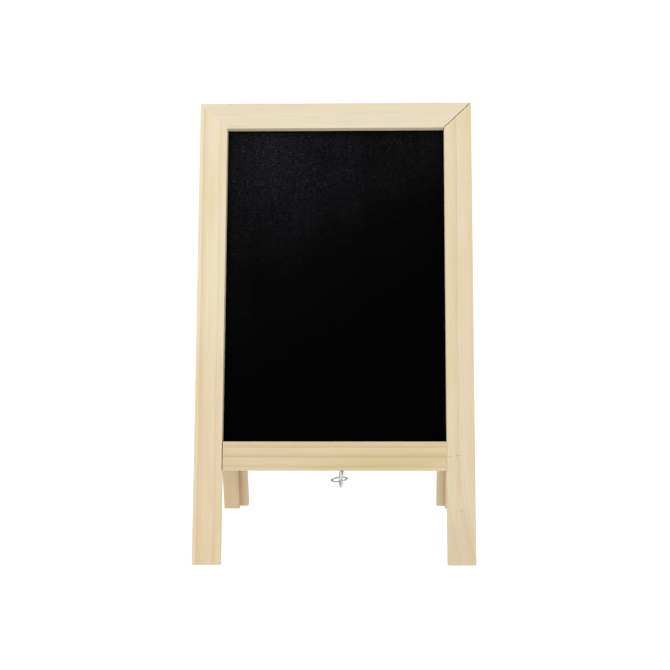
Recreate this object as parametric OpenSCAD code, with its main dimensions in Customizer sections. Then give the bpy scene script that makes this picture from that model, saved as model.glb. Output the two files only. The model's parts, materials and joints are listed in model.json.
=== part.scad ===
// Tabletop A-frame chalkboard. Two pine frames are hinged along their top edges, each holds a
// black board that faces outwards, and a wire stay under the bottom rails keeps the legs apart.
// The origin is the middle of the footprint, on the ground. +Z is up and -Y is the front.

/* [Frames] */
// Width of each frame, across its two stiles
frame_w = 200; // [180:1:240]
// Length of each stile, from foot to top corner
leg_len = 336; // [320:1:400]
// Lean of each frame from upright, in degrees
lean = 13.5; // [12:0.5:15]
// Width of a stile, seen from the front
stile_w = 20; // [18:1:24]
// Width of the top rail
top_rail_w = 19; // [18:1:24]
// Width of the bottom rail
bottom_rail_w = 20.5; // [18:0.5:24]
// Thickness of the wood, from outer face to inner face
stock_t = 12; // [12:0.5:15]
// Distance from the foot up to the bottom rail
rail_rise = 66; // [55:1:90]
// Gap left at the bottom rail's left end
rail_end_gap = 0.6; // [0:0.1:1]
// Gap left at the front frame's right-hand mitre
mitre_gap = 0.5; // [0:0.1:1]
// Space between the two frames when they are folded together
fold_gap = 1; // [1:0.5:3]

/* [Boards] */
// Depth of the board's face behind the frame's face
board_setback = 7; // [6:0.5:8]
// Width of the rebate that takes the board's edge
rebate_w = 7; // [6:0.5:8]
// Thickness of the board
board_t = 3; // [2.5:0.5:3.5]
// Play around the board in its rebate
board_play = 0.4; // [0.2:0.1:0.8]

/* [Hinges] */
// Distance of each hinge from the middle of the top rail
hinge_x = 62; // [40:1:70]
// Length of a hinge
hinge_len = 25; // [22:1:30]
// Reach of a leaf from the pin's axis
leaf_w = 9.6; // [9.2:0.1:10]
// Thickness of a leaf
leaf_t = 0.9; // [0.7:0.1:1]
// Radius of the knuckles
knuckle_r = 1.6; // [1.5:0.1:2]
// Radius of the hinge pin
pin_r = 0.75; // [0.6:0.05:0.9]
// Length of the middle knuckle
mid_knuckle = 8.2; // [7:0.1:10]

/* [Stay] */
// Sideways place of the stay's shank
stay_x = 5.2; // [0:0.1:10]
// Sideways place of the screw eye
eye_x = 4; // [-1:0.1:9]
// Distance from the rail's edge down to the middle of the screw eye
eye_drop = 6.2; // [6.2:0.1:8]
// Radius of the screw eye's ring, at the middle of its wire
eye_r = 5.5; // [5:0.1:6]
// Radius of the screw eye's wire
eye_wire_r = 0.7; // [0.6:0.05:0.8]
// Radius of the stay's closed loop, at the middle of its wire
loop_r = 5.6; // [5:0.1:6]
// Radius of the stay's wire
stay_wire_r = 0.6; // [0.5:0.05:0.7]
// Sideways offset of the loop's centre from the shank
loop_offset = 2; // [0:0.1:2]
// Distance of the loop's bearing point below the middle of the screw eye
loop_drop = 2.1; // [0:0.1:2.5]
// Radius of the stay's open hook, at the middle of its wire
hook_r = 3; // [2.9:0.1:3.5]
// Length of the tip beyond the open hook's bend
hook_tip = 3; // [2:0.5:5]
// Rise of the stay towards the rear, in degrees
stay_rise = 2; // [0:0.5:2]
// Roll of the loop and hook about the shank, in degrees
stay_roll = 6; // [0:1:8]
// Radius of the catch screw's neck
catch_neck_r = 1.1; // [1:0.05:1.2]
// Radius of the catch screw's head
catch_head_r = 2.1; // [1.9:0.05:2.15]
// Distance from the stay down to the catch screw's head
catch_below = 3; // [2.8:0.1:4]

/* [Fasteners] */
// Radius of a hinge screw's shank
screw_r = 1; // [0.8:0.1:1.2]
// Length of a hinge screw
screw_len = 10; // [8:1:12]
// Distance of a hinge screw from the middle of its hinge
screw_x = 8; // [7:0.5:9]
// Width of a corner staple's crown
staple_w = 8; // [6:0.5:9]
// Depth of a corner staple's legs
staple_depth = 8; // [6:0.5:9]
// Thickness of a staple's wire
staple_t = 0.7; // [0.5:0.1:1]
// Radius of the nails that hold the bottom rail
nail_r = 0.6; // [0.5:0.1:0.8]
// Length of those nails
nail_len = 10; // [8:0.5:10]
// Radius of the pins that hold the board in
board_pin_r = 0.55; // [0.5:0.05:0.6]
// Length of a board pin
board_pin_len = 14; // [12:1:15]

/* [Hidden] */
$fn = 48;
pine = "#E9DBBE";
board_black = "#101010";
zinc = "#B9BDC2";
steel = "#8E9196";

half_w = frame_w / 2;
lip_x = half_w - stile_w;
wall_x = lip_x + rebate_w;
rail_top = rail_rise + bottom_rail_w;
board_foot = rail_top - rebate_w;
opening_top = leg_len - top_rail_w;

// Height of the mitre line at a distance x from the frame's middle
function mitre_z(x) = leg_len - (half_w - x) * top_rail_w / stile_w;
wall_top = mitre_z(wall_x);

// The hinge axis lies along X, above the gap between the folded frames
hinge_rise = knuckle_r;
axis_y = stock_t + fold_gap / 2;
axis_s = leg_len + hinge_rise;
hinge_z = axis_s * cos(lean) - fold_gap / 2 * sin(lean);
knuckle_gap = 0.2;
pin_play = 0.05;
pin_head = 0.5;
pin_head_r = 1.15;
leaf_relief = knuckle_r + 0.3;
screw_line = axis_y - stock_t / 2;
screw_head_r = screw_r + leaf_t;
screw_play = 0.05;
tip_len = 2.5;
slot_w = 0.5;
slot_d = 0.35;

// The stay bears on the rear inner side of the screw eye's ring, and turns there
eye_y = stock_t / 2;
eye_s = rail_rise - eye_drop;
ring_y = (eye_y - axis_y) * cos(lean) + (eye_s - axis_s) * sin(lean);
ring_z = hinge_z - (eye_y - axis_y) * sin(lean) + (eye_s - axis_s) * cos(lean);
stay_play = 0.06;
seat_r = eye_r - eye_wire_r - stay_wire_r - stay_play;
seat_drop = loop_drop + (stay_x - eye_x) * sin(stay_roll);
pivot_y = ring_y + sqrt(pow(seat_r, 2) - pow(seat_drop, 2));
pivot_z = ring_z - loop_drop;

// Along the stay from that place: the loop's centre, the start of the shank and the open hook
loop_y = sqrt(pow(loop_r, 2) - pow(stay_x - loop_offset - eye_x, 2));
shank_start = loop_y + sqrt(pow(loop_r, 2) - pow(loop_offset, 2));
catch_play = 0.35;
catch_x = stay_x - hook_r;
catch_z = pivot_z - (ring_y + pivot_y) * tan(stay_rise) - hook_r * sin(stay_roll);
catch_y = (ring_z - catch_z) * tan(lean) - ring_y;
hook_reach = (catch_y - pivot_y + catch_neck_r + catch_play) / cos(stay_rise);
hook_y = hook_reach + stay_wire_r - hook_r;
catch_s = eye_s + (catch_z - ring_z) / cos(lean) - catch_below;
catch_out = rail_rise - catch_s;
eye_thread = 12;
catch_thread = 10;
catch_head_h = 1.5;
catch_dome_r = (pow(catch_head_r, 2) + pow(catch_head_h, 2)) / (2 * catch_head_h);

// Fasteners in a frame
staple_places = [8, 14];
nail_head_r = 1.2;
nail_head_t = 0.5;
nail_heights = [rail_rise + 4, rail_rise + 10];
side_pin_heights = [0.15, 0.5, 0.85];
end_pin_places = [-0.5, 0.5];
pin_line = board_setback + board_t + board_pin_r + 0.02;

// Puts a frame, drawn flat with its outer face at y = 0 and its feet at z = 0, in its leaning place
module front_place() {
  translate([0, 0, hinge_z])
    rotate([-lean, 0, 0])
      translate([0, -axis_y, -axis_s])
        children();
}

// The rear frame is the front frame's mirror image
module rear_place() {
  mirror([0, 1, 0])
    front_place()
      children();
}

// Puts a hinge part, drawn about the pin's axis with its leaf towards -y, on the front frame
module front_hinge_place(side) {
  translate([side * hinge_x, 0, hinge_z])
    rotate([-lean, 0, 0])
      children();
}

module rear_hinge_place(side) {
  mirror([0, 1, 0])
    front_hinge_place(side)
      children();
}

// A slab from an outline in x and z, between two depths
module slab(outline, y0, y1) {
  translate([0, y1, 0])
    rotate([90, 0, 0])
      linear_extrude(y1 - y0)
        polygon(outline);
}

// The right-hand stile: a rebated strip, mitred at the top and cut square at the foot
module right_stile() {
  union() {
    slab([[lip_x, 0], [half_w, 0], [half_w, leg_len], [lip_x, opening_top]], 0, board_setback);
    slab([[wall_x, 0], [half_w, 0], [half_w, leg_len], [wall_x, wall_top]], board_setback, stock_t);
  }
}

module left_stile() {
  mirror([1, 0, 0])
    right_stile();
}

// The top rail, mitred at both ends. The gap shortens its right-hand end
module top_rail(gap) {
  cut = gap * sqrt(2);
  union() {
    slab([[-half_w, leg_len], [-lip_x, opening_top], [lip_x - cut, opening_top],
      [half_w - cut, leg_len]], 0, board_setback);
    slab([[-half_w, leg_len], [-wall_x, wall_top], [wall_x - cut, wall_top],
      [half_w - cut, leg_len]], board_setback, stock_t);
  }
}

// The bottom rail: its face fits between the stiles and its back laps into their rebates
module bottom_rail() {
  tongue_x = wall_x - board_play / 2;
  union() {
    slab([[rail_end_gap - lip_x, rail_rise], [lip_x, rail_rise], [lip_x, rail_top],
      [rail_end_gap - lip_x, rail_top]], 0, board_setback);
    slab([[-tongue_x, rail_rise], [tongue_x, rail_rise], [tongue_x, board_foot],
      [-tongue_x, board_foot]], board_setback, stock_t);
  }
}

// The board, lying in the rebates of all four members
module chalkboard() {
  board_x = wall_x - board_play;
  translate([-board_x, board_setback, board_foot])
    cube([2 * board_x, board_t, wall_top - board_play - board_foot]);
}

// One staple across the right-hand mitre, driven flush from the inner face
module mitre_staple(along) {
  reach = along / sqrt(2);
  translate([half_w - reach, stock_t, leg_len - reach])
    rotate([0, 45, 0])
      union() {
        translate([-staple_w / 2, -staple_t, -staple_t / 2])
          cube([staple_w, staple_t, staple_t]);
        for (end = [-1, 1])
          translate([end * (staple_w - staple_t) / 2 - staple_t / 2, -staple_depth, -staple_t / 2])
            cube([staple_t, staple_depth, staple_t]);
      }
}

module corner_staples() {
  for (side = [0, 1], along = staple_places)
    mirror([side, 0, 0])
      mitre_staple(along);
}

// The nails through the bottom rail's laps into the stiles
module rail_nails() {
  for (side = [-1, 1], height = nail_heights)
    translate([side * (lip_x + rebate_w / 2), stock_t, height])
      rotate([90, 0, 0])
        union() {
          cylinder(r = nail_head_r, h = nail_head_t);
          cylinder(r = nail_r, h = nail_len);
        }
}

// The headless pins that lie across the board's back, half of each in the wood
module board_pins() {
  board_h = wall_top - board_foot;
  for (side = [-1, 1], share = side_pin_heights)
    translate([side * wall_x, pin_line, board_foot + share * board_h])
      rotate([0, 90, 0])
        cylinder(r = board_pin_r, h = board_pin_len, center = true);
  for (share = end_pin_places, end_z = [board_foot, wall_top])
    translate([share * wall_x, pin_line, end_z])
      cylinder(r = board_pin_r, h = board_pin_len, center = true);
}

// A knuckle between two places along the pin's axis, with the strip that joins it to its leaf
module knuckle(x0, x1) {
  union() {
    translate([x0, 0, 0])
      rotate([0, 90, 0])
        cylinder(r = knuckle_r, h = x1 - x0);
    translate([x0, -leaf_relief - 1, -hinge_rise])
      cube([x1 - x0, leaf_relief + 1, leaf_t]);
  }
}

// A hinge leaf with its own knuckles, bored for the pin and countersunk for its screws
module leaf(knuckles) {
  difference() {
    union() {
      translate([-hinge_len / 2, -leaf_w, -hinge_rise])
        cube([hinge_len, leaf_w - leaf_relief, leaf_t]);
      for (k = knuckles)
        knuckle(k[0], k[1]);
    }
    translate([-hinge_len, 0, 0])
      rotate([0, 90, 0])
        cylinder(r = pin_r + pin_play, h = 2 * hinge_len);
    for (end = [-1, 1])
      translate([end * screw_x, -screw_line, -hinge_rise])
        cylinder(r1 = screw_r + screw_play, r2 = screw_head_r + screw_play, h = leaf_t);
  }
}

module front_leaf() {
  inner = mid_knuckle / 2 + knuckle_gap;
  leaf([[-hinge_len / 2, -inner], [inner, hinge_len / 2]]);
}

module rear_leaf() {
  leaf([[-mid_knuckle / 2, mid_knuckle / 2]]);
}

module hinge_pin() {
  rotate([0, 90, 0])
    union() {
      cylinder(r = pin_r, h = hinge_len + 2 * pin_head, center = true);
      for (end = [-1, 1])
        translate([0, 0, end * (hinge_len + pin_head) / 2])
          cylinder(r = pin_head_r, h = pin_head, center = true);
    }
}

// A countersunk, slotted screw, drawn with its head's face at z = 0
module hinge_screw() {
  difference() {
    union() {
      translate([0, 0, -leaf_t])
        cylinder(r1 = screw_r, r2 = screw_head_r, h = leaf_t);
      translate([0, 0, tip_len - screw_len])
        cylinder(r = screw_r, h = screw_len - tip_len - leaf_t);
      translate([0, 0, -screw_len])
        cylinder(r1 = screw_r / 5, r2 = screw_r, h = tip_len);
    }
    translate([-screw_head_r, -slot_w / 2, -slot_d])
      cube([2 * screw_head_r, slot_w, 2 * slot_d]);
  }
}

// The two screws of one leaf
module leaf_screws() {
  for (end = [-1, 1])
    translate([end * screw_x, -screw_line, leaf_t - hinge_rise])
      hinge_screw();
}

// The screw eye in the front rail's lower edge. Its ring faces sideways
module screw_eye() {
  translate([eye_x, eye_y, eye_s])
    union() {
      rotate([0, 90, 0])
        rotate_extrude()
          translate([eye_r, 0])
            circle(r = eye_wire_r);
      translate([0, 0, eye_r])
        cylinder(r = eye_wire_r, h = eye_drop - eye_r + eye_thread - tip_len);
      translate([0, 0, eye_drop + eye_thread - tip_len])
        cylinder(r1 = eye_wire_r, r2 = eye_wire_r / 5, h = tip_len);
    }
}

// The round-head screw in the rear rail's lower edge, left standing out for the stay to catch
module catch_screw() {
  translate([catch_x, eye_y, catch_s])
    difference() {
      union() {
        cylinder(r = catch_neck_r, h = catch_out + catch_thread - tip_len);
        translate([0, 0, catch_out + catch_thread - tip_len])
          cylinder(r1 = catch_neck_r, r2 = catch_neck_r / 5, h = tip_len);
        intersection() {
          translate([0, 0, catch_dome_r - catch_head_h])
            sphere(r = catch_dome_r);
          translate([0, 0, -catch_head_h])
            cylinder(r = catch_head_r, h = catch_head_h);
        }
      }
      translate([-catch_head_r, -slot_w / 2, -catch_head_h - slot_w])
        cube([2 * catch_head_r, slot_w, 2 * slot_w]);
    }
}

// The wire stay: a closed loop, a straight shank and an open hook, all bent in one plane
module wire_stay() {
  translate([stay_x, pivot_y, pivot_z])
    rotate([stay_rise, -stay_roll, 0])
      union() {
        translate([-loop_offset, loop_y, 0])
          rotate_extrude()
            translate([loop_r, 0])
              circle(r = stay_wire_r);
        translate([0, hook_y, 0])
          rotate([90, 0, 0])
            cylinder(r = stay_wire_r, h = hook_y - shank_start);
        translate([-hook_r, hook_y, 0])
          rotate_extrude(angle = 180)
            translate([hook_r, 0])
              circle(r = stay_wire_r);
        translate([-2 * hook_r, hook_y, 0])
          rotate([90, 0, 0])
            cylinder(r = stay_wire_r, h = hook_tip);
        translate([-2 * hook_r, hook_y - hook_tip, 0])
          sphere(r = stay_wire_r);
      }
}

color(pine) front_place() left_stile();  // front_left_stile
color(pine) front_place() right_stile();  // front_right_stile
color(pine) front_place() top_rail(mitre_gap);  // front_top_rail
color(pine) front_place() bottom_rail();  // front_bottom_rail
color(board_black) front_place() chalkboard();  // front_chalkboard
color(steel) front_place() corner_staples();  // front_corner_staples
color(steel) front_place() rail_nails();  // front_rail_nails
color(steel) front_place() board_pins();  // front_board_pins
color(pine) rear_place() left_stile();  // rear_left_stile
color(pine) rear_place() right_stile();  // rear_right_stile
color(pine) rear_place() top_rail(0);  // rear_top_rail
color(pine) rear_place() bottom_rail();  // rear_bottom_rail
color(board_black) rear_place() chalkboard();  // rear_chalkboard
color(steel) rear_place() corner_staples();  // rear_corner_staples
color(steel) rear_place() rail_nails();  // rear_rail_nails
color(steel) rear_place() board_pins();  // rear_board_pins
color(zinc) front_hinge_place(-1) front_leaf();  // left_hinge_front_leaf
color(zinc) rear_hinge_place(-1) rear_leaf();  // left_hinge_rear_leaf
color(steel) front_hinge_place(-1) hinge_pin();  // left_hinge_pin
color(zinc) front_hinge_place(1) front_leaf();  // right_hinge_front_leaf
color(zinc) rear_hinge_place(1) rear_leaf();  // right_hinge_rear_leaf
color(steel) front_hinge_place(1) hinge_pin();  // right_hinge_pin
color(zinc) for (side = [-1, 1]) front_hinge_place(side) leaf_screws();  // front_hinge_screws
color(zinc) for (side = [-1, 1]) rear_hinge_place(side) leaf_screws();  // rear_hinge_screws
color(zinc) front_place() screw_eye();  // front_screw_eye
color(zinc) rear_place() catch_screw();  // rear_catch_screw
color(zinc) wire_stay();  // stay_hook
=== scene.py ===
"""A folding tabletop chalkboard easel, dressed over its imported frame.

Two pine frames are hinged along their top edges. Each holds a black board that faces outwards,
and a wire stay under the bottom rails keeps the legs apart. Each sub-assembly is a class that
builds its own pieces and gives them their finishes.
"""

from __future__ import annotations

import json
import logging
import math
import sys
from dataclasses import dataclass
from enum import Enum

import bmesh
import bpy
from mathutils import Matrix, Vector


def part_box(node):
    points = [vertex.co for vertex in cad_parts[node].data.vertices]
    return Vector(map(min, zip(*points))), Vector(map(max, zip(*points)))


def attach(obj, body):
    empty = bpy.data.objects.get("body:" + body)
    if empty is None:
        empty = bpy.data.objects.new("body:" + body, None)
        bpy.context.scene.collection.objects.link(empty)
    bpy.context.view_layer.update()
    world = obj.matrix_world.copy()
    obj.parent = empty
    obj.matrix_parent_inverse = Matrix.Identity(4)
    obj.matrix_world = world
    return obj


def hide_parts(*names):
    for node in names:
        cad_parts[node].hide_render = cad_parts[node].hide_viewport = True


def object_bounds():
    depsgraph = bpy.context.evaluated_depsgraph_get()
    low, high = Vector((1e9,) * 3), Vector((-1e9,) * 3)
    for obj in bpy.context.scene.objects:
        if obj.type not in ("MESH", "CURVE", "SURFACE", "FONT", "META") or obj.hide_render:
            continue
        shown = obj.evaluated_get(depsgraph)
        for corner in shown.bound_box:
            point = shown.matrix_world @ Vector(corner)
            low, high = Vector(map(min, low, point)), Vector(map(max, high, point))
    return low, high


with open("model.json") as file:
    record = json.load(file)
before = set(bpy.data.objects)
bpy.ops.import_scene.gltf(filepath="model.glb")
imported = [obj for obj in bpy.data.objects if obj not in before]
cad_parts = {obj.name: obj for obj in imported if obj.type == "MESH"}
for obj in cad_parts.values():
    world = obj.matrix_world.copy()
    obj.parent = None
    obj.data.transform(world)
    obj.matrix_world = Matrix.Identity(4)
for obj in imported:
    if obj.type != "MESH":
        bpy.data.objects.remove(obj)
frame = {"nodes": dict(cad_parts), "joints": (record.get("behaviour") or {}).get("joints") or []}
CAD_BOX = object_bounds()

MM = 0.001
PER_MM = 1000.0
CREASE = math.radians(40)
PARALLEL = 0.95
WELD = 0.01 * MM
FLAT = 0.01
RIGHT = Vector((1, 0, 0))
FORWARD = Vector((0, -1, 0))
UP = Vector((0, 0, 1))
FACING = 0.99
WIRE_END = 0.55
JOINTS = {joint["name"]: joint for joint in frame["joints"]}
HINGE = Vector(JOINTS["fold"]["pos_m"])
LEAN = math.radians(JOINTS["fold"]["range_deg"][1] / 2)

log = logging.getLogger("easel")


class Side(Enum):
    """The frame that a piece belongs to. The rear frame mirrors the front one."""

    FRONT = 1
    REAR = -1

    @property
    def word(self) -> str:
        """Returns the side's word in node names."""
        return self.name.lower()

    @property
    def body(self) -> str:
        """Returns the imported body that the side's pieces ride on."""
        return f"{self.word}_frame"

    def place(self) -> Matrix:
        """Returns the matrix from a flat frame, drawn about its hinge, to its leaning place."""
        lean = Matrix.Translation(HINGE) @ Matrix.Rotation(-LEAN, 4, "X")
        return Matrix.Diagonal((1, self.value, 1, 1)) @ lean

    def flat_box(self, node: str) -> tuple[Vector, Vector]:
        """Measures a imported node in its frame's own flat directions.

        Args:
            node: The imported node's name without its side.

        Returns:
            The node's lowest and highest corners, measured from the hinge.
        """
        undo = self.place().inverted()
        points = [undo @ v.co for v in frame["nodes"][f"{self.word}_{node}"].data.vertices]
        low = Vector([min(p[i] for p in points) for i in range(3)])
        high = Vector([max(p[i] for p in points) for i in range(3)])
        return low, high


class Grain(Enum):
    """The direction of a member's grain in its flat frame."""

    UPRIGHT = "Z"
    ACROSS = "X"

    @property
    def axis(self) -> Vector:
        """Returns the direction of the grain."""
        return UP if self is Grain.UPRIGHT else RIGHT


def paint(code: str) -> tuple[float, float, float, float]:
    """Turns a colour code into linear light.

    Args:
        code: Six hexadecimal digits, red first.

    Returns:
        The colour's red, green, blue and alpha.
    """
    shares = [int(code[i : i + 2], 16) / 255 for i in (0, 2, 4)]
    linear = [s / 12.92 if s <= 0.04045 else ((s + 0.055) / 1.055) ** 2.4 for s in shares]
    return (*linear, 1.0)


Socket = bpy.types.NodeSocket
Source = Socket | float | tuple | Vector
NONE = (0, 0, 0)


@dataclass(frozen=True)
class Layer:
    """One scattered pattern of a material.

    Attributes:
        cycles: Its cycles along x, y and z, in the units that it is read in.
        seed: The number that tells it from the piece's other patterns.
        detail: The number of finer layers in it.
        rough: The strength of each finer layer.
    """

    cycles: tuple[float, float, float]
    seed: float = 0.0
    detail: float = 2.0
    rough: float = 0.5


class Shader:
    """A material's node tree, with short ways to add nodes and join them."""

    def __init__(self, name: str) -> None:
        """Starts a material with one principled surface.

        Args:
            name: The material's name.
        """
        self.material = bpy.data.materials.new(name)
        self.material.use_nodes = True
        self.tree = self.material.node_tree
        self.tree.nodes.clear()
        output = self.add("OutputMaterial")
        self.surface = self.add("BsdfPrincipled")
        self.tree.links.new(self.surface.outputs["BSDF"], output.inputs["Surface"])

    def add(self, kind: str) -> bpy.types.Node:
        """Adds a node of one kind."""
        return self.tree.nodes.new(f"ShaderNode{kind}")

    def put(self, socket: Socket, value: Source) -> None:
        """Joins a socket to another one, or sets its value.

        Args:
            socket: The input to fill.
            value: Another node's output, or a plain value.
        """
        if isinstance(value, Socket):
            self.tree.links.new(value, socket)
        else:
            socket.default_value = value

    def here(self) -> Socket:
        """Returns the place in the object's own coordinates."""
        return self.add("TexCoord").outputs["Object"]

    def laid_flat(self, side: Side) -> Socket:
        """Lays the object's place flat, in millimetres.

        Args:
            side: The frame that the piece is in.

        Returns:
            The flat place: across from the middle, inwards from the hinge, up from the foot.
        """
        foot = side.flat_box("left_stile")[0].z
        shift = Vector((0, 0, -foot)) - Matrix.Rotation(LEAN, 3, "X") @ HINGE
        stretch = (PER_MM, side.value * PER_MM, PER_MM)
        return self.mapped(self.here(), tuple(shift * PER_MM), (LEAN, 0, 0), stretch)

    def mapped(
        self, at: Source, move: tuple = NONE, turn: tuple = NONE, stretch: tuple = (1, 1, 1)
    ) -> Socket:
        """Stretches, turns and then moves a place.

        Args:
            at: The place to change.
            move: The distance to move it.
            turn: The angles about x, y and z.
            stretch: The scale along x, y and z.

        Returns:
            The changed place.
        """
        node = self.add("Mapping")
        self.put(node.inputs["Vector"], at)
        self.put(node.inputs["Location"], move)
        self.put(node.inputs["Rotation"], turn)
        self.put(node.inputs["Scale"], stretch)
        return node.outputs["Vector"]

    def math(self, kind: str, first: Source, second: Source = 0.0, third: Source = 0.0) -> Socket:
        """Works out one sum.

        Args:
            kind: The operation's name.
            first: The first value.
            second: The second value.
            third: The third value, for a sum that has one.

        Returns:
            The result.
        """
        node = self.add("Math")
        node.operation = kind
        for socket, value in zip(node.inputs, (first, second, third)):
            self.put(socket, value)
        return node.outputs["Value"]

    def times(self, first: Source, second: Source) -> Socket:
        """Multiplies two values."""
        return self.math("MULTIPLY", first, second)

    def plus(self, first: Source, second: Source) -> Socket:
        """Adds two values."""
        return self.math("ADD", first, second)

    def parts(self, at: Source) -> tuple[Socket, ...]:
        """Returns a place's x, y and z."""
        node = self.add("SeparateXYZ")
        self.put(node.inputs[0], at)
        return tuple(node.outputs)

    def reach(self, at: Source) -> Socket:
        """Returns a place's distance from the origin."""
        node = self.add("VectorMath")
        node.operation = "LENGTH"
        self.put(node.inputs[0], at)
        return node.outputs["Value"]

    def noise(self, at: Source, layer: Layer, seed: float) -> Socket:
        """Adds a cloudy noise.

        Args:
            at: The place to read it at.
            layer: The noise's size and fineness.
            seed: The number that tells one piece's noise from another's.

        Returns:
            The noise, from 0 to 1.
        """
        node = self.add("TexNoise")
        node.noise_dimensions = "4D"
        self.put(node.inputs["Vector"], self.mapped(at, stretch=layer.cycles))
        self.put(node.inputs["W"], seed + layer.seed)
        self.put(node.inputs["Scale"], 1.0)
        self.put(node.inputs["Detail"], layer.detail)
        self.put(node.inputs["Roughness"], layer.rough)
        return node.outputs["Fac"]

    def cells(self, at: Source, layer: Layer, seed: float) -> Socket:
        """Scatters points.

        Args:
            at: The place to read them at.
            layer: The points' spacing.
            seed: The number that tells one piece's points from another's.

        Returns:
            The distance to the nearest point.
        """
        node = self.add("TexVoronoi")
        node.voronoi_dimensions = "4D"
        self.put(node.inputs["Vector"], self.mapped(at, stretch=layer.cycles))
        self.put(node.inputs["W"], seed + layer.seed)
        self.put(node.inputs["Scale"], 1.0)
        return node.outputs["Distance"]

    def level(
        self, value: Source, start: float, end: float, low: float = 0.0, high: float = 1.0
    ) -> Socket:
        """Turns a value smoothly from one range into another.

        Args:
            value: The value to turn.
            start: The value that gives low.
            end: The value that gives high.
            low: The result at the start.
            high: The result at the end.

        Returns:
            The result, held between low and high.
        """
        node = self.add("MapRange")
        node.interpolation_type = "SMOOTHSTEP"
        for socket, given in zip(node.inputs, (value, start, end, low, high)):
            self.put(socket, given)
        return node.outputs["Result"]

    def curve(self, value: Source, stops: tuple) -> Socket:
        """Reads a value off a row of stops.

        Args:
            value: The place along the row, from 0 to 1.
            stops: Pairs of a place and a brightness.

        Returns:
            The brightness there.
        """
        node = self.add("ValToRGB")
        row = node.color_ramp.elements
        while len(row) < len(stops):
            row.new(0.5)
        for element, (place, bright) in zip(row, stops):
            element.position = place
            element.color = (bright, bright, bright, 1)
        self.put(node.inputs["Fac"], value)
        return node.outputs["Color"]

    def blend(self, share: Source, under: Source, over: Source, kind: str = "MIX") -> Socket:
        """Lays one colour over another.

        Args:
            share: The strength of the upper colour.
            under: The colour below.
            over: The colour above.
            kind: The way that they mix.

        Returns:
            The mixed colour.
        """
        node = self.add("Mix")
        node.data_type = "RGBA"
        node.blend_type = kind
        self.put(node.inputs["Factor"], share)
        self.put(node.inputs[6], under)
        self.put(node.inputs[7], over)
        return node.outputs[2]

    def emboss(self, height: Source, depth: float, strength: float) -> None:
        """Presses a height pattern into the surface.

        Args:
            height: The pattern, from 0 to 1.
            depth: The height of one unit, in metres.
            strength: The share of it that shows.
        """
        node = self.add("Bump")
        self.put(node.inputs["Height"], height)
        self.put(node.inputs["Distance"], depth)
        self.put(node.inputs["Strength"], strength)
        self.put(self.surface.inputs["Normal"], node.outputs["Normal"])

    def set(self, **values: Source) -> None:
        """Fills the surface's inputs. A word's underscores stand for spaces."""
        for word, value in values.items():
            self.put(self.surface.inputs[word.replace("_", " ")], value)


@dataclass(frozen=True)
class Mark:
    """A small stain, dent or dash on a member's face, in millimetres.

    Attributes:
        across: Its distance from the easel's middle.
        up: Its distance up the leg from the foot.
        wide: Half its width.
        tall: Half its height.
        tone: Its colour code.
        tilt: Its turn, in degrees.
        strength: How strongly it shows.
    """

    across: float
    up: float
    wide: float
    tall: float
    tone: str
    tilt: float = 0.0
    strength: float = 0.6

    def lay(self, shader: Shader, flat: Source, ragged: Source, colour: Source) -> Socket:
        """Lays the mark over a member's colour.

        Args:
            shader: The material's node tree.
            flat: The flat place, in millimetres.
            ragged: The noise that roughens its edge.
            colour: The colour under it.

        Returns:
            The colour with the mark on it.
        """
        here = shader.mapped(flat, move=(-self.across, 0, -self.up), stretch=(1, 0, 1))
        here = shader.mapped(here, turn=(0, math.radians(self.tilt), 0))
        here = shader.mapped(here, stretch=(1 / self.wide, 1, 1 / self.tall))
        edge = shader.plus(shader.reach(here), shader.times(ragged, 0.5))
        inside = shader.level(edge, 0.7, 1.35, self.strength, 0.0)
        return shader.blend(inside, colour, paint(self.tone))


WHITE = "FFFFFF"
RING_STRAY = Layer((0.045, 0.045, 0.009), 0, 3)
FINE_STRAY = Layer((0.35, 0.35, 0.03), 5, 2)
WOOD_FIBRE = Layer((2.4, 2.4, 0.045), 11, 5, 0.68)
WOOD_STREAK = Layer((0.7, 0.7, 0.02), 17, 3, 0.6)
WOOD_PATCH = Layer((0.06, 0.06, 0.012), 23, 2)
RESIN_CANAL = Layer((0.85, 0.85, 0.13), 31)
BROWN_SPECK = Layer((0.16, 0.16, 0.16), 37)
FIBRE_SHADE = "CDB288"
STREAK_SHADE = "D8BE98"
CANAL_TONE = "B58A5C"
SPECK_TONE = "9A7650"
LATE_BAND = ((0.0, 0.0), (0.5, 0.05), (0.8, 0.55), (0.9, 1.0), (0.955, 0.9), (1.0, 0.0))
LINES_PER_RING = 4.0
CURL_POWER = 1.7


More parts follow.
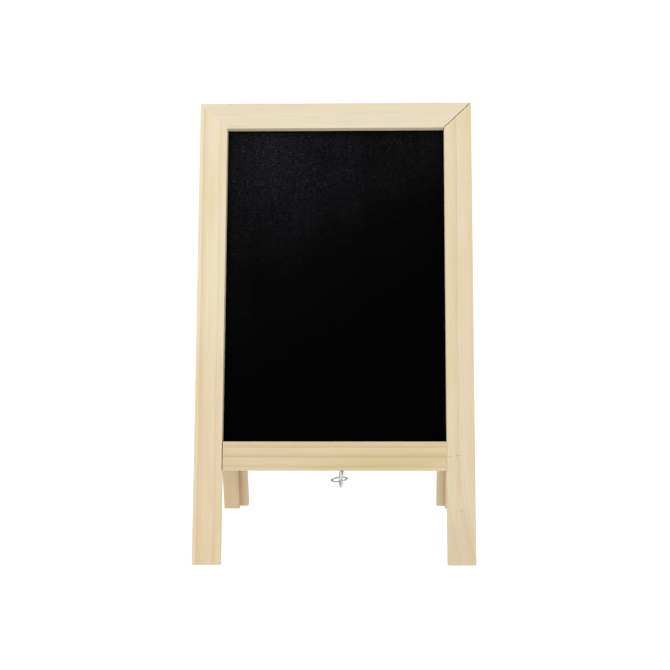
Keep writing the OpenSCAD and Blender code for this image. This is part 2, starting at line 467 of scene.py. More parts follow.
@dataclass(frozen=True)
class PineFinish:
    """Bare sanded pine, cut from one place in one log.

    Attributes:
        seed: The number that sets this stick's own noise.
        pith: The log's centre from the member's place, across the grain and inwards, in mm.
        ring: The distance between growth rings, in mm.
        phase: The share of a ring to shift them by.
        pale: The early wood's colour code.
        late: The late wood's colour code.
        tint: The colour code of the slow patches.
        contrast: The strength of the late wood.
        lines: The strength of the fine lines between rings.
        wander: How far the rings stray, in mm.
        curl: The rings' sideways bend at the foot, in mm.
        curl_height: The height from the foot where that bend starts, in mm.
        marks: The small marks on it.
    """

    seed: float
    pith: tuple[float, float]
    ring: float = 9.0
    phase: float = 0.0
    pale: str = "ECDEC3"
    late: str = "DDBB90"
    tint: str = "E6D3AE"
    contrast: float = 0.5
    lines: float = 0.1
    wander: float = 2.2
    curl: float = 0.0
    curl_height: float = 75.0
    marks: tuple[Mark, ...] = ()

    def in_log(self, shader: Shader, flat: Source, grain: Grain) -> Socket:
        """Finds a flat place's spot in the log, with the grain along z.

        Args:
            shader: The material's node tree.
            flat: The flat place, in millimetres.
            grain: The direction of the member's grain.

        Returns:
            The spot in the log, from its centre.
        """
        turn = (0, math.pi / 2 if grain is Grain.ACROSS else 0, 0)
        if self.curl:
            x, y, z = shader.parts(flat)
            low = shader.math("SUBTRACT", self.curl_height, z)
            share = shader.math("DIVIDE", shader.math("MAXIMUM", low, 0.0), self.curl_height)
            bend = shader.times(shader.math("POWER", share, CURL_POWER), -self.curl)
            node = shader.add("CombineXYZ")
            for socket, value in zip(node.inputs, (shader.plus(x, bend), y, z)):
                shader.put(socket, value)
            flat = node.outputs[0]
        return shader.mapped(flat, (-self.pith[0], -self.pith[1], 0), turn)

    def rings(self, shader: Shader, spot: Source, stray: Source) -> Socket:
        """Counts the growth rings out to a spot in the log.

        Args:
            shader: The material's node tree.
            spot: The spot in the log.
            stray: The rings' fine stray.

        Returns:
            The number of rings and the share of the next one.
        """
        slow = shader.noise(spot, RING_STRAY, self.seed)
        slow = shader.math("MULTIPLY_ADD", slow, self.wander * 2, -self.wander)
        out = shader.plus(shader.reach(shader.mapped(spot, stretch=(1, 1, 0))), slow)
        out = shader.plus(out, shader.times(stray, 0.5))
        return shader.plus(shader.math("DIVIDE", out, self.ring), self.phase)

    def late_wood(self, shader: Shader, rings: Source) -> Socket:
        """Works out where the late wood is, stronger in some rings than in others.

        Args:
            shader: The material's node tree.
            rings: The number of rings out to the place.

        Returns:
            The late wood's strength.
        """
        vary = shader.add("TexWhiteNoise")
        vary.noise_dimensions = "1D"
        shader.put(vary.inputs["W"], shader.plus(shader.math("FLOOR", rings), self.seed))
        strength = shader.level(vary.outputs["Value"], 0.0, 1.0, 0.55, 1.0)
        band = shader.curve(shader.math("FRACT", rings), LATE_BAND)
        return shader.times(shader.times(band, strength), self.contrast)

    def material(self, name: str, side: Side, grain: Grain) -> bpy.types.Material:
        """Makes the member's wood.

        Args:
            name: The material's name.
            side: The frame that the member is in.
            grain: The direction of its grain.

        Returns:
            The material.
        """
        shader = Shader(name)
        flat = shader.laid_flat(side)
        spot = self.in_log(shader, flat, grain)
        stray = shader.noise(spot, FINE_STRAY, self.seed)
        rings = self.rings(shader, spot, stray)
        band = self.late_wood(shader, rings)
        lines = shader.math("FRACT", shader.times(rings, LINES_PER_RING))
        lines = shader.level(lines, 0.35, 1.0, 0.0, self.lines)
        fibre = shader.noise(spot, WOOD_FIBRE, self.seed)
        streak = shader.noise(spot, WOOD_STREAK, self.seed)
        patch = shader.level(shader.noise(spot, WOOD_PATCH, self.seed), 0.42, 0.72, 0.0, 0.85)
        canal = shader.level(shader.cells(spot, RESIN_CANAL, self.seed), 0.05, 0.14, 1.0, 0.0)
        speck = shader.level(shader.cells(flat, BROWN_SPECK, self.seed), 0.03, 0.06, 1.0, 0.0)

        colour = shader.blend(patch, paint(self.pale), paint(self.tint))
        colour = shader.blend(shader.plus(band, lines), colour, paint(self.late))
        for value, start, shade, share in (
            (fibre, 0.25, FIBRE_SHADE, 0.13),
            (streak, 0.3, STREAK_SHADE, 0.1),
        ):
            wash = shader.blend(shader.level(value, start, 1 - start), paint(shade), paint(WHITE))
            colour = shader.blend(share, colour, wash, "MULTIPLY")
        colour = shader.blend(shader.times(canal, 0.22), colour, paint(CANAL_TONE))
        colour = shader.blend(shader.times(speck, 0.35), colour, paint(SPECK_TONE))
        for mark in self.marks:
            colour = mark.lay(shader, flat, stray, colour)

        height = shader.plus(fibre, shader.times(canal, -0.8))
        height = shader.plus(height, shader.times(band, 0.5))
        shader.emboss(height, 0.12 * MM, 0.55)
        shader.set(
            Base_Color=colour,
            Roughness=shader.level(fibre, 0.2, 0.8, 0.52, 0.72),
            Specular_IOR_Level=0.32,
        )
        return shader.material


DUST_CLOUD = Layer((0.016,) * 3, 7, 4, 0.55)
DUSTER_WIPE = Layer((0.06, 0.06, 0.009), 9, 3, 0.55)
PAINT_GRIT = Layer((1500,) * 3, 0, 2, 0.7)
PAINT_TOOTH = Layer((900,) * 3, 3, 4, 0.62)
PAINT_SHEEN = Layer((20,) * 3, 5, 3)
DUST_FLECK = Layer((420,) * 3, 13)


@dataclass(frozen=True)
class BoardPaint:
    """Matt black chalkboard paint, with a fine tooth, a faint haze of old dust, a painted highlight
    towards the top left and a painted shadow band along its edges.

    Attributes:
        black: The clean paint's colour code.
        haze_and_highlight: The colour code of the dusty paint, lit up by the painted highlight.
        speck: The colour code of the dust caught in the paint's tooth.
        spread: The painted highlight's spread down from the top, in mm.
        lean: The painted highlight's fading from left to right, as a share of that spread.
        margin: The width of the painted shadow band along the board's edges, where the paint stays
            clean black, in mm.
    """

    black: str = "010101"
    haze_and_highlight: str = "101011"
    speck: str = "4D5058"
    spread: float = 225.0
    lean: float = 0.6
    margin: float = 8.0

    def dust(self, shader: Shader, side: Side) -> Socket:
        """Works out the old dust together with painted light: a highlight towards the top left and a
        shadow band along the edges.

        Args:
            shader: The material's node tree.
            side: The frame that the board is in.

        Returns:
            The strength of the dust and painted highlight, from 0 to 1, held near 0 in the painted
            shadow band.
        """
        low, high = (corner * PER_MM for corner in side.flat_box("chalkboard"))
        foot = side.flat_box("left_stile")[0].z * PER_MM
        flat = shader.laid_flat(side)
        x, _, z = shader.parts(flat)
        left = shader.math("SUBTRACT", x, low.x)
        right = shader.math("SUBTRACT", high.x, x)
        down = shader.math("SUBTRACT", high.z - foot, z)
        up = shader.math("SUBTRACT", z, low.z - foot)
        edge = left
        for other in (right, down, up):
            edge = shader.math("MINIMUM", edge, other)
        # Painted shadow: the dust, specks and highlight are held off in a band along the board's
        # edges, so the paint stays black there as if shaded by the frame's lip.
        clear_of_painted_shadow = shader.level(edge, self.margin * 0.55, self.margin * 1.15)
        # Painted highlight: the haze is strongest at the top left and fades down and to the right,
        # as if lit from the upper left.
        fade = shader.plus(down, shader.times(left, self.lean))
        near = shader.level(fade, 0.0, self.spread, 1.0, 0.0)
        cloud = shader.level(shader.noise(flat, DUST_CLOUD, side.value), 0.25, 0.7, 0.6, 1.0)
        wipe = shader.level(shader.noise(flat, DUSTER_WIPE, side.value), 0.3, 0.7, 0.8, 1.0)
        return shader.times(shader.times(near, clear_of_painted_shadow), shader.times(cloud, wipe))

    def material(self, name: str, side: Side) -> bpy.types.Material:
        """Makes one board's paint.

        Args:
            name: The material's name.
            side: The frame that the board is in.

        Returns:
            The material.
        """
        shader = Shader(name)
        here = shader.here()
        grit = shader.noise(here, PAINT_GRIT, side.value)
        tooth = shader.noise(here, PAINT_TOOTH, side.value)
        sheen = shader.noise(here, PAINT_SHEEN, side.value)
        fleck = shader.level(shader.cells(here, DUST_FLECK, side.value), 0.1, 0.24, 0.6, 0.0)
        # Dust mixed with painted light: the haze colour and the specks follow the painted highlight
        # and the painted shadow band.
        dust = self.dust(shader, side)
        shown = shader.level(dust, 0.0, 0.9, 0.03, 0.7)
        colour = shader.blend(dust, paint(self.black), paint(self.haze_and_highlight))
        for caught in (shader.level(grit, 0.48, 0.8), fleck):
            colour = shader.blend(shader.times(caught, shown), colour, paint(self.speck))
        shader.emboss(shader.plus(tooth, shader.times(grit, 0.6)), 0.05 * MM, 0.5)
        rough = shader.level(sheen, 0.2, 0.8, 0.7, 0.8)
        shader.set(Base_Color=colour, Roughness=rough, Specular_IOR_Level=0.01)
        return shader.material


PANEL_FIBRE = Layer((900,) * 3, 0, 4, 0.7)
PANEL_CLOUD = Layer((30,) * 3, 2, 3)


@dataclass(frozen=True)
class HardboardFinish:
    """The brown back of a hardboard panel, pressed against a wire screen.

    Attributes:
        brown: The panel's colour code.
        dark: The colour code of its darker fibres.
        light: The colour code of its lighter patches.
        screen: The spacing of the screen's wires.
    """

    brown: str = "8A6238"
    dark: str = "5B3D20"
    light: str = "9C7648"
    screen: float = 1.1 * MM

    def material(self, name: str, side: Side) -> bpy.types.Material:
        """Makes the panel's back.

        Args:
            name: The material's name.
            side: The frame that the panel is in.

        Returns:
            The material.
        """
        shader = Shader(name)
        here = shader.mapped(shader.here(), turn=(LEAN * side.value, 0, 0))
        x, _, z = shader.parts(shader.mapped(here, stretch=(math.tau / self.screen,) * 3))
        weave = shader.times(shader.math("SINE", x), shader.math("SINE", z))
        fibre = shader.noise(here, PANEL_FIBRE, side.value)
        cloud = shader.level(shader.noise(here, PANEL_CLOUD, side.value), 0.4, 0.7, 0.0, 0.4)
        colour = shader.blend(shader.level(fibre, 0.35, 0.7), paint(self.brown), paint(self.dark))
        colour = shader.blend(cloud, colour, paint(self.light))
        shader.emboss(shader.plus(weave, fibre), 0.1 * MM, 0.7)
        shader.set(Base_Color=colour, Roughness=shader.level(fibre, 0.3, 0.7, 0.72, 0.9))
        return shader.material


METAL_SCRATCH = Layer((900, 5200, 5200), 3, 3, 0.6)
METAL_SEED = 1.0


@dataclass(frozen=True)
class MetalFinish:
    """Plated or plain steel.

    Attributes:
        bright: The clean metal's colour code.
        dull: The colour code where it has dulled.
        shine: The roughness of the clean metal.
        dullness: The roughness where it has dulled.
        grain: The size of the dulled patches.
    """

    bright: str
    dull: str
    shine: float
    dullness: float
    grain: float

    def material(self, name: str) -> bpy.types.Material:
        """Makes the metal.

        Args:
            name: The material's name.

        Returns:
            The material.
        """
        shader = Shader(name)
        here = shader.here()
        patch = shader.noise(here, Layer((1 / self.grain,) * 3, 0, 4, 0.6), METAL_SEED)
        scratch = shader.noise(here, METAL_SCRATCH, METAL_SEED)
        colour = shader.blend(shader.level(patch, 0.42, 0.68), paint(self.bright), paint(self.dull))
        colour = shader.blend(shader.level(scratch, 0.55, 0.8, 0.0, 0.3), colour, paint(self.dull))
        worn = shader.plus(patch, shader.times(scratch, 0.4))
        rough = shader.level(worn, 0.5, 0.95, self.shine, self.dullness)
        shader.emboss(scratch, 0.02 * MM, 0.35)
        shader.set(Base_Color=colour, Roughness=rough, Metallic=1.0)
        return shader.material


ZINC_WIRE = MetalFinish("D6D8DA", "9A9DA0", 0.2, 0.42, 1.6 * MM)
ZINC_PLATE = MetalFinish("CDD0D2", "B8BCBE", 0.26, 0.4, 5 * MM)
PLAIN_STEEL = MetalFinish("B4B6B8", "7C7E80", 0.3, 0.5, 1.2 * MM)


def block(low: Vector, high: Vector) -> bmesh.types.BMesh:
    """Makes a plain block between two corners.

    Args:
        low: Its lowest corner.
        high: Its highest corner.

    Returns:
        The block's mesh.
    """
    bm = bmesh.new()
    place = Matrix.Translation((low + high) / 2) @ Matrix.Diagonal((*(high - low), 1))
    bmesh.ops.create_cube(bm, size=1, matrix=place)
    return bm


def pull(bm: bmesh.types.BMesh, towards: Vector, near: Vector, by: float) -> None:
    """Draws one flat face out of a block.

    Args:
        bm: The mesh to change.
        towards: The direction that the face looks in, and is drawn out in.
        near: A point close to the middle of the face.
        by: The distance to draw it out.
    """
    bm.normal_update()
    facing = [f for f in bm.faces if f.normal.dot(towards) > FACING]
    face = min(facing, key=lambda f: (f.calc_center_median() - near).length)
    made = bmesh.ops.extrude_face_region(bm, geom=[face])["geom"]
    moved = [v for v in made if isinstance(v, bmesh.types.BMVert)]
    bmesh.ops.translate(bm, verts=moved, vec=towards * by)
    bmesh.ops.delete(bm, geom=[face], context="FACES_ONLY")


def score(bm: bmesh.types.BMesh, at: Vector, across: Vector) -> None:
    """Marks a cut round a block, at a point and across a direction, taking nothing off."""
    everything = [*bm.verts, *bm.edges, *bm.faces]
    bmesh.ops.bisect_plane(bm, geom=everything, plane_co=at, plane_no=across)


def saw(bm: bmesh.types.BMesh, at: Vector, off: Vector) -> None:
    """Cuts an end off and closes the cut.

    Args:
        bm: The mesh to change.
        at: A point on the cut.
        off: The cut's normal, towards the end that comes off.
    """
    everything = [*bm.verts, *bm.edges, *bm.faces]
    cut = bmesh.ops.bisect_plane(
        bm, geom=everything, plane_co=at, plane_no=off.normalized(), clear_outer=True
    )["geom_cut"]
    edges = [e for e in cut if isinstance(e, bmesh.types.BMEdge)]
    bmesh.ops.holes_fill(bm, edges=edges)


def direction(edge: bmesh.types.BMEdge) -> Vector:
    """Returns the direction that an edge runs in."""
    return (edge.verts[1].co - edge.verts[0].co).normalized()


def joins_hollow(edge: bmesh.types.BMEdge) -> bool:
    """Tells whether an edge runs straight on into the edge of a hollow corner.

    Args:
        edge: The edge to look at.

    Returns:
        Whether it does, so that easing it would drag the hollow corner along.
    """
    others = {other for vert in edge.verts for other in vert.link_edges} - {edge}
    hollow = [e for e in others if not e.is_convex and e.calc_face_angle() > CREASE]
    return any(abs(direction(e).dot(direction(edge))) > PARALLEL for e in hollow)


def round_off(
    bm: bmesh.types.BMesh, edges: list, width: float, segments: int = 3, clamp: bool = False
) -> None:
    """Rounds edges off.

    Args:
        bm: The mesh to change.
        edges: The edges to round.
        width: The width taken off them.
        segments: The number of steps across the round.
        clamp: Whether neighbouring rounds stop where they meet.
    """
    bmesh.ops.bevel(
        bm,
        geom=edges,
        offset=width,
        segments=segments,
        profile=0.5,
        affect="EDGES",
        material=-1,
        clamp_overlap=clamp,
    )


def ease(bm: bmesh.types.BMesh, length: Vector, arris: float, ends: float) -> None:
    """Takes the sharpness off a member's outer edges.

    Args:
        bm: The mesh to change.
        length: The direction of the member's length.
        arris: The width taken off its long edges.
        ends: The width taken off the edges of its ends.
    """
    bmesh.ops.remove_doubles(bm, verts=bm.verts, dist=WELD)
    bmesh.ops.dissolve_limit(bm, angle_limit=FLAT, verts=bm.verts, edges=bm.edges)
    bmesh.ops.recalc_face_normals(bm, faces=bm.faces)
    for along, width in ((True, arris), (False, ends)):
        bm.normal_update()
        sharp = [e for e in bm.edges if e.is_convex and e.calc_face_angle() > CREASE]
        open_edges = [e for e in sharp if not joins_hollow(e)]
        chosen = [e for e in open_edges if (abs(direction(e).dot(length)) > PARALLEL) == along]
        round_off(bm, chosen, width, clamp=True)


def finished(
    bm: bmesh.types.BMesh,
    name: str,
    place: Matrix,
    body: str,
    nodes: tuple[str, ...],
    materials: tuple[bpy.types.Material, ...],
) -> bpy.types.Object:
    """Turns a mesh into a finished piece in its place.

    Args:
        bm: The piece's mesh, which is used up.
        name: The piece's name.
        place: The matrix from the mesh's own directions to the easel's.
        body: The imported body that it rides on.
        nodes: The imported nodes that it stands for.
        materials: Its materials, in order.

    Returns:
        The piece.
    """
    bmesh.ops.transform(bm, matrix=place, verts=bm.verts)
    bmesh.ops.recalc_face_normals(bm, faces=bm.faces)
    for face in bm.faces:
        face.smooth = True
    for edge in bm.edges:
        edge.smooth = edge.calc_face_angle(0.0) < CREASE
    mesh = bpy.data.meshes.new(name)
    bm.to_mesh(mesh)
    bm.free()
    piece = bpy.data.objects.new(name, mesh)
    bpy.context.scene.collection.objects.link(piece)
    for material in materials:
        mesh.materials.append(material)
    piece.modifiers.new("even_shading", "WEIGHTED_NORMAL").keep_sharp = True
    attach(piece, body)
    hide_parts(*nodes)
    log.info("%s: %d faces on %s", name, len(mesh.polygons), body)
    return piece


@dataclass(frozen=True)
class PineFrame:
    """One pine frame: two rebated stiles, a mitred top rail and a lapped bottom rail.

    Attributes:
        side: Which of the two frames it is.
        finishes: Each member's wood, by its name.
        rebate: The width of the rebate that takes the board.
        arris: The width taken off the long edges.
        mitre_edge: The width taken off the edges of every end.
    """

    side: Side
    finishes: dict[str, PineFinish]
    rebate: float = 7 * MM
    arris: float = 0.45 * MM
    mitre_edge: float = 0.07 * MM

    def dress(
        self, bm: bmesh.types.BMesh, member: str, grain: Grain, flip: bool = False
    ) -> bpy.types.Object:
        """Finishes one member's mesh.

        Args:
            bm: The member's mesh, drawn flat.
            member: The member's name without its side.
            grain: The direction of its grain.
            flip: Whether it is drawn for the right and used on the left.

        Returns:
            The member.
        """
        node = f"{self.side.word}_{member}"
        wood = self.finishes[member].material(f"pine_{node}", self.side, grain)
        place = self.side.place()
        if flip:
            place = place @ Matrix.Diagonal((-1, 1, 1, 1))
        return finished(bm, f"{node}_wood", place, self.side.body, (node,), (wood,))

    def lip_back(self) -> float:
        """Returns the depth of the back of the lips, which is the board's face."""
        return self.side.flat_box("chalkboard")[0].y

    def stile(self, left: bool) -> bpy.types.Object:
        """Makes one stile, drawn for the right side.

        Args:
            left: Whether it stands on the left.

        Returns:
            The stile.
        """
        low, high = self.side.flat_box("right_stile")
        opening = self.side.flat_box("top_rail")[0].z
        wall = low.x + self.rebate
        depth = self.lip_back()
        bm = block(Vector((wall, depth, low.z)), high)
        pull(bm, FORWARD, Vector((high.x, depth, 0)), depth - low.y)
        pull(bm, -RIGHT, Vector((wall, low.y, low.z / 2)), self.rebate)
        slope = Vector((high.z - opening, 0, low.x - high.x))
        saw(bm, Vector((high.x, 0, high.z)), -slope)
        ease(bm, Grain.UPRIGHT.axis, self.arris, self.mitre_edge)
        return self.dress(bm, "left_stile" if left else "right_stile", Grain.UPRIGHT, left)

    def top_rail(self) -> bpy.types.Object:
        """Makes the top rail, mitred at both ends.

        Returns:
            The rail.
        """
        low, high = self.side.flat_box("top_rail")
        stile_low, stile_high = self.side.flat_box("right_stile")
        depth = self.lip_back()
        share = (high.z - low.z) / (stile_high.x - stile_low.x)
        rebate = self.rebate * share
        bm = block(Vector((low.x, depth, low.z + rebate)), high)
        pull(bm, FORWARD, Vector((0, depth, high.z)), depth - low.y)
        pull(bm, -UP, Vector((0, low.y, low.z)), rebate)
        saw(bm, Vector((high.x, 0, high.z)), Vector((share, 0, -1)))
        saw(bm, Vector((low.x, 0, high.z)), Vector((-share, 0, -1)))
        ease(bm, Grain.ACROSS.axis, self.arris, self.mitre_edge)
        return self.dress(bm, "top_rail", Grain.ACROSS)

    def bottom_rail(self) -> bpy.types.Object:
        """Makes the bottom rail: its face between the stiles, its back lapped into their rebates.

        Returns:
            The rail.
        """
        low, high = self.side.flat_box("bottom_rail")
        depth = self.lip_back()
        left_end, right_end = self.face_ends()
        bm = block(Vector((low.x, depth, low.z)), Vector((high.x, high.y, high.z - self.rebate)))
        for end in (left_end, right_end):
            score(bm, RIGHT * end, RIGHT)
        pull(bm, FORWARD, Vector((0, depth, low.z)), depth - low.y)
        pull(bm, UP, Vector((0, low.y, high.z)), self.rebate)
        ease(bm, Grain.ACROSS.axis, self.arris, self.mitre_edge)
        return self.dress(bm, "bottom_rail", Grain.ACROSS)

    def face_ends(self) -> tuple[float, float]:
        """Finds the two ends of the bottom rail's face.

        Returns:
            The left and right ends, across the easel.
        """
        undo = self.side.place().inverted()
        node = frame["nodes"][f"{self.side.word}_bottom_rail"]
        outer = self.side.flat_box("bottom_rail")[0].y
        points = [undo @ v.co for v in node.data.vertices]
        face = [p.x for p in points if p.y - outer < self.arris]
        return min(face), max(face)

    def build(self) -> list[bpy.types.Object]:
        """Makes all four members."""
        return [self.stile(True), self.stile(False), self.top_rail(), self.bottom_rail()]


@dataclass(frozen=True)
class Chalkboard:
    """One hardboard panel, painted black on its face and edges.

    Attributes:
        side: The frame that it sits in.
        paint: Its face's finish.
        back: Its back's finish.
        edge: The width taken off its edges.
    """

    side: Side
    paint: BoardPaint = BoardPaint()
    back: HardboardFinish = HardboardFinish()
    edge: float = 0.3 * MM

    def build(self) -> bpy.types.Object:
        """Makes the panel.

        Returns:
            The panel.
        """
        low, high = self.side.flat_box("chalkboard")
        bm = block(low, high)
        bm.normal_update()
        for face in bm.faces:
            face.material_index = int(face.normal.y > 0.9)
        round_off(bm, list(bm.edges), self.edge)
        place = self.side.place()
        node = f"{self.side.word}_chalkboard"
        face = self.paint.material(f"board_paint_{self.side.word}", self.side)
        back = self.back.material(f"board_back_{self.side.word}", self.side)
        return finished(bm, f"{node}_panel", place, self.side.body, (node,), (face, back))


class BentWire:
    """A round wire, made one straight and one bend at a time in its own plane."""

    def __init__(self, radius: float, at: Vector, heading: Vector, sides: int = 18) -> None:
        """Starts the wire.

        Args:
            radius: The wire's radius.
            at: Where it starts.
            heading: The direction that it starts in.
            sides: The number of sides round it.
        """
        self.bm = bmesh.new()
        self.radius = radius
        self.at = at.copy()
        self.heading = heading.normalized()
        turn = self.heading.to_track_quat("Z", "Y").to_matrix().to_4x4()
        place = Matrix.Translation(at) @ turn
        bmesh.ops.create_circle(self.bm, segments=sides, radius=radius, matrix=place)
        self.start = list(self.bm.edges)
        self.end = list(self.bm.edges)

    def grow(self) -> list[bmesh.types.BMVert]:
        """Draws a new ring out of the wire's end.

        Returns:
            The new ring's points, not yet moved.
        """
        made = bmesh.ops.extrude_edge_only(self.bm, edges=self.end)["geom"]
        points = {v for v in made if isinstance(v, bmesh.types.BMVert)}
        edges = [e for e in made if isinstance(e, bmesh.types.BMEdge)]
        self.end = [e for e in edges if e.verts[0] in points and e.verts[1] in points]
        return list(points)

    def straight(self, length: float) -> BentWire:
        """Runs the wire straight on.

        Args:
            length: The distance to run.

        Returns:
            The wire.
        """
        step = self.heading * length
        bmesh.ops.translate(self.bm, verts=self.grow(), vec=step)
        self.at = self.at + step
        return self

    def bend(
        self, radius: float, degrees: float, drift: float = 0.0, steps_per_turn: int = 72
    ) -> BentWire:
        """Bends the wire to the left, or to the right for a negative angle.

        Args:
            radius: The bend's radius.
            degrees: The angle to bend through.
            drift: How far the wire strays out of its plane over the bend.
            steps_per_turn: The number of steps in a whole turn.

        Returns:
            The wire.
        """
        left = UP.cross(self.heading) * math.copysign(1, degrees)
        centre = self.at + left * radius
        steps = max(2, round(abs(degrees) / 360 * steps_per_turn))
        turn = Matrix.Rotation(math.radians(degrees) / steps, 3, "Z")
        stray = UP * drift / steps
        for _ in range(steps):
            ring = self.grow()
            bmesh.ops.rotate(self.bm, verts=ring, cent=centre, matrix=turn)
            bmesh.ops.translate(self.bm, verts=ring, vec=stray)
            self.at = centre + turn @ (self.at - centre) + stray
            self.heading = turn @ self.heading
        return self

    def closed(self) -> bmesh.types.BMesh:
        """Rounds and closes both ends.

        Returns:
            The wire's mesh.
        """
        caps = []
        for edges in (self.start, self.end):
            caps += bmesh.ops.edgeloop_fill(self.bm, edges=edges)["faces"]
        rims = [edge for cap in caps for edge in cap.edges]
        round_off(self.bm, rims, self.radius * WIRE_END, segments=4)
        return self.bm


def looped_wire(
    wire: float, loop: float, offset: float, crook: float, gap: float, drift: float = 0.0
) -> BentWire:
    """Starts a wire with a closed loop, and leaves it heading up its shank.

    The shank lies on the line x = 0 and the loop's centre at x = -offset, y = 0.

    Args:
        wire: The wire's radius.
        loop: The loop's radius, at the middle of the wire.
        offset: The distance of the loop's centre from the shank's line.
        crook: The radius of the bend from the loop to the shank.
        gap: The distance of the wire's free end from the shank's line.
        drift: How far the free end lies beside the shank, out of the loop's plane.

    Returns:
        The wire, at the start of its shank.
    """
    centre = Vector((-offset, 0, drift))
    end = math.acos((offset + crook) / (loop + crook))
    start = math.acos((offset - gap) / loop)
    first = centre + Vector((math.cos(start), math.sin(start), 0)) * loop
    heading = Vector((-math.sin(start), math.cos(start), 0))
    bent = BentWire(wire, first, heading)
    bent.bend(loop, 360 + math.degrees(end - start), -drift)
    bent.bend(crook, -math.degrees(end))
    return bent


@dataclass(frozen=True)
class ScrewEye:
    """The screw eye in the front rail's lower edge.

    Attributes:
        wire: Its wire's radius.
        ring: Its ring's radius, at the middle of the wire.
        crook: The radius of the bend from the ring to the stem.
        turn: The ring's turn about its stem, in degrees.
        lap: How far the ring's free end runs past the stem.
        beside: The distance of the free end from the stem, to its right.
    """

    wire: float = 0.7 * MM
    ring: float = 5.5 * MM
    crook: float = 0.8 * MM
    turn: float = -7.0
    lap: float = 1.0 * MM
    beside: float = 1.5 * MM

    def build(self) -> bpy.types.Object:
        """Makes the screw eye.

        Returns:
            The screw eye.
        """
        low, high = Side.FRONT.flat_box("screw_eye")
        middle = (low + high) / 2
        centre = Vector((middle.x, middle.y, low.z + self.ring + self.wire))
        bent = looped_wire(self.wire, self.ring, 0.0, self.crook, -self.lap, self.beside)
        bent.straight(high.z - centre.z - bent.at.y)
        upright = Matrix.Rotation(math.pi / 2, 4, "X")
        turned = Matrix.Rotation(math.radians(90 - self.turn), 4, "Z")
        place = Side.FRONT.place() @ Matrix.Translation(centre) @ turned @ upright
        metal = ZINC_WIRE.material("zinc_screw_eye")
        return finished(
            bent.closed(),
            "front_screw_eye_wire",
            place,
            "front_frame",
            ("front_screw_eye",),
            (metal,),
        )


@dataclass(frozen=True)
class WireStay:
    """The wire stay: a closed loop in the screw eye, a straight shank and an open hook.

    Attributes:
        wire: Its wire's radius.
        loop: Its loop's radius, at the middle of the wire.
        offset: The distance of the loop's centre from the shank's line.
        bearing: The distance of the loop's bearing point from the shank's line.
        crook: The radius of the bend from the loop to the shank.
        gap: The distance of the loop's free end from the shank's line.
        hook: Its open hook's radius, at the middle of the wire.
        tip: The length of the tip beyond the hook's bend.
        rise: Its rise towards the rear, in degrees.
        roll: Its roll about the shank, in degrees.
    """

    wire: float = 0.6 * MM
    loop: float = 5.6 * MM
    offset: float = 2.0 * MM
    bearing: float = 1.2 * MM
    crook: float = 1.4 * MM
    gap: float = 1.32 * MM
    hook: float = 3.0 * MM
    tip: float = 3.0 * MM
    rise: float = 2.0
    roll: float = 6.0

    def build(self) -> bpy.types.Object:
        """Makes the stay.

        Returns:
            The stay.
        """
        pivot = Vector(JOINTS["stay_swing"]["pos_m"])
        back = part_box("stay_hook")[1].y - pivot.y
        rise = math.radians(self.rise)
        centre = math.sqrt(self.loop**2 - (self.offset - self.bearing) ** 2)
        bend_at = back / math.cos(rise) - self.hook - self.wire
        bent = looped_wire(self.wire, self.loop, self.offset, self.crook, self.gap)
        bent.straight(bend_at - centre - bent.at.y)
        bent.bend(self.hook, 180)
        bent.straight(self.tip)
        tilt = Matrix.Rotation(-math.radians(self.roll), 4, "Y") @ Matrix.Rotation(rise, 4, "X")
        place = Matrix.Translation(pivot) @ tilt @ Matrix.Translation((0, centre, 0))
        metal = ZINC_WIRE.material("zinc_stay")
        return finished(
            bent.closed(), "stay_hook_wire", place, "stay", ("stay_hook",), (metal,)
        )


@dataclass(frozen=True)
class Hardware:
    """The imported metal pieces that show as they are, with their edges eased.

    Attributes:
        plate_edge: The width taken off a hinge leaf's edges.
        small_edge: The width taken off a small fastener's edges.
    """

    plate_edge: float = 0.12 * MM
    small_edge: float = 0.06 * MM

    def dress(self, node: str, metal: bpy.types.Material, edge: float) -> None:
        """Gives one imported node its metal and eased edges.

        Args:
            node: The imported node's name.
            metal: Its material.
            edge: The width taken off its edges.
        """
        piece = frame["nodes"][node]
        piece.data.materials.clear()
        piece.data.materials.append(metal)
        bevel = piece.modifiers.new("eased_edges", "BEVEL")
        bevel.width = edge
        bevel.segments = 2
        bevel.limit_method = "ANGLE"
        bevel.angle_limit = CREASE
        bevel.harden_normals = True
        log.info("%s: dressed as packed", node)

    def build(self) -> None:
        """Dresses the hinges and every fastener."""
        plate = ZINC_PLATE.material("zinc_hinge")
        wire = ZINC_WIRE.material("zinc_catch")
        steel = PLAIN_STEEL.material("steel_fastener")
        for hand in ("left", "right"):
            self.dress(f"{hand}_hinge_front_leaf", plate, self.plate_edge)
            self.dress(f"{hand}_hinge_rear_leaf", plate, self.plate_edge)
            self.dress(f"{hand}_hinge_pin", steel, self.small_edge)
        for side in Side:
            self.dress(f"{side.word}_hinge_screws", plate, self.small_edge)
            for group in ("corner_staples", "rail_nails", "board_pins"):
                self.dress(f"{side.word}_{group}", steel, self.small_edge)
        self.dress("rear_catch_screw", wire, self.small_edge)


@dataclass(frozen=True)
class Lamp:
    """One soft studio lamp.

    Attributes:
        name: Its name.
        place: Where it hangs.
        size: Its width.
        power: Its power, in watts.
        colour: Its colour code.
    """

    name: str
    place: tuple[float, float, float]
    size: float
    power: float
    colour: str = "FFFFFF"

    def build(self, aim: Vector) -> None:
        """Hangs the lamp.

        Args:
            aim: The point that it looks at.
        """
        light = bpy.data.lights.new(self.name, "AREA")
        light.shape = "DISK"
        light.size = self.size
        light.energy = self.power
        light.color = paint(self.colour)[:3]
        lamp = bpy.data.objects.new(self.name, light)
        lamp.location = self.place
        lamp.rotation_euler = (aim - lamp.location).to_track_quat("-Z", "Y").to_euler()
        bpy.context.scene.collection.objects.link(lamp)


